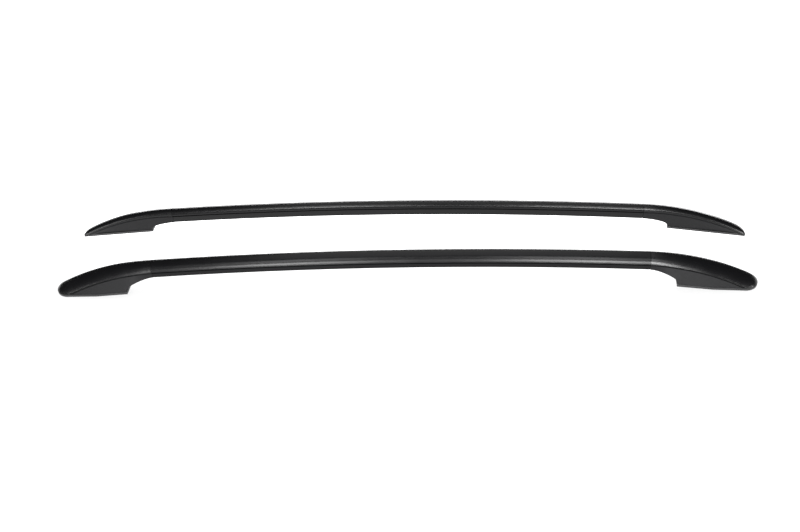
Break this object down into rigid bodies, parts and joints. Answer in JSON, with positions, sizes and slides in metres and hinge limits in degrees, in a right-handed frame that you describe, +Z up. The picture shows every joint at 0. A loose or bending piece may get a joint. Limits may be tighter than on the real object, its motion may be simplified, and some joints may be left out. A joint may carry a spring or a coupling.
{
  "type": "roof side rail pair",
  "caption": "Mirrored roof side rails for a car: arched hollow bars with a domed crown and shadow grooves, held at each end by a moulded foot that seals and bonds to the roof.",
  "frame": {"origin": "midway between the rails and midway between the tips of their feet, on the surface the feet stand on", "axes": "+X towards the front of the car along the rails, +Y to the left rail, +Z up"},
  "size_m": [1.7136, 0.3156, 0.1068],
  "materials": {
    "bar_coat": "satin black coat on aluminium",
    "foot_plastic": "black, fine satin grain",
    "gasket_rubber": "matt dark grey",
    "plate_plastic": "matt black",
    "screw_steel": "zinc plated"
  },
  "bodies": {
    "root": {"right_bar": "bar_coat", "right_front_foot": "foot_plastic", "right_front_gasket": "gasket_rubber", "right_front_base_plate": "plate_plastic", "right_front_bar_screws": "screw_steel", "right_front_plate_screws": "screw_steel", "right_rear_foot": "foot_plastic", "right_rear_gasket": "gasket_rubber", "right_rear_base_plate": "plate_plastic", "right_rear_bar_screws": "screw_steel", "right_rear_plate_screws": "screw_steel", "left_bar": "bar_coat", "left_front_foot": "foot_plastic", "left_front_gasket": "gasket_rubber", "left_front_base_plate": "plate_plastic", "left_front_bar_screws": "screw_steel", "left_front_plate_screws": "screw_steel", "left_rear_foot": "foot_plastic", "left_rear_gasket": "gasket_rubber", "left_rear_base_plate": "plate_plastic", "left_rear_bar_screws": "screw_steel", "left_rear_plate_screws": "screw_steel"}
  },
  "joints": []
}
